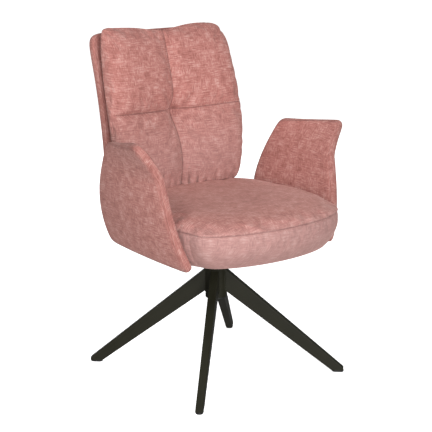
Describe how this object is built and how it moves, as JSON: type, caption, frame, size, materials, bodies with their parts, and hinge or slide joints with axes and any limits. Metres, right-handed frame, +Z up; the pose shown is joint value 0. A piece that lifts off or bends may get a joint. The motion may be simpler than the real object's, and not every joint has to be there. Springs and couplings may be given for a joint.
{
  "type": "upholstered swivel armchair",
  "caption": "Upholstered swivel armchair with a padded seat, a tufted back cushion in a wrapped shell, flared wing arms and a splayed four-leg steel base.",
  "frame": {"origin": "on the swivel axis, at floor level", "axes": "+Z up along the swivel axis; the sitter faces -Y and the sitter's left arm is at +X"},
  "size_m": [0.7076, 0.6341, 0.9522],
  "materials": {
    "chenille": "soft slubby chenille with a low sheen",
    "foam": "cut polyurethane foam",
    "lining": "non-woven sheet",
    "plywood": "raw",
    "powder_coat": "fine matt powder coat",
    "black_plastic": "moulded",
    "nylon": "turned or moulded",
    "zinc_steel": "zinc plated"
  },
  "bodies": {
    "base": {"hub_tube": "powder_coat", "hub_end_cap": "black_plastic", "lower_bush": "nylon", "upper_bush": "nylon", "bearing_lower_race": "zinc_steel", "leg_front_left": "powder_coat", "leg_front_right": "powder_coat", "leg_rear_left": "powder_coat", "leg_rear_right": "powder_coat", "glide_front_left": "black_plastic", "glide_front_right": "black_plastic", "glide_rear_left": "black_plastic", "glide_rear_right": "black_plastic"},
    "cage": {"ball_cage": "nylon", "bearing_balls": "zinc_steel"},
    "seat_unit": {"bearing_upper_race": "zinc_steel", "swivel_plate": "powder_coat", "spindle": "zinc_steel", "spindle_washer": "zinc_steel", "spindle_bolt": "zinc_steel", "plate_bolts": "zinc_steel", "plate_tee_nuts": "zinc_steel", "seat_board": "plywood", "side_rail_left": "plywood", "side_rail_right": "plywood", "dust_cover": "lining", "seat_foam": "foam", "seat_cover": "chenille", "back_bracket_left": "powder_coat", "back_bracket_right": "powder_coat", "bracket_bolts": "zinc_steel", "shell_core": "plywood", "shell_padding": "chenille", "back_cushion": "chenille", "tuft_anchor": "nylon", "arm_core_left": "plywood", "arm_core_right": "plywood", "arm_padding_left": "chenille", "arm_padding_right": "chenille", "arm_bolts_left": "zinc_steel", "arm_bolts_right": "zinc_steel"}
  },
  "joints": [
    {"name": "seat_swivel", "type": "hinge", "parent": "base", "child": "seat_unit", "pos_m": [0, 0, 0.37], "axis": [0, 0, 1], "continuous": true},
    {"name": "cage_spin", "type": "hinge", "parent": "base", "child": "cage", "pos_m": [0, 0, 0.367], "axis": [0, 0, 1], "continuous": true}
  ],
  "couplings": [
    {"joint": "cage_spin", "follows": "seat_swivel", "ratio": 0.5}
  ]
}
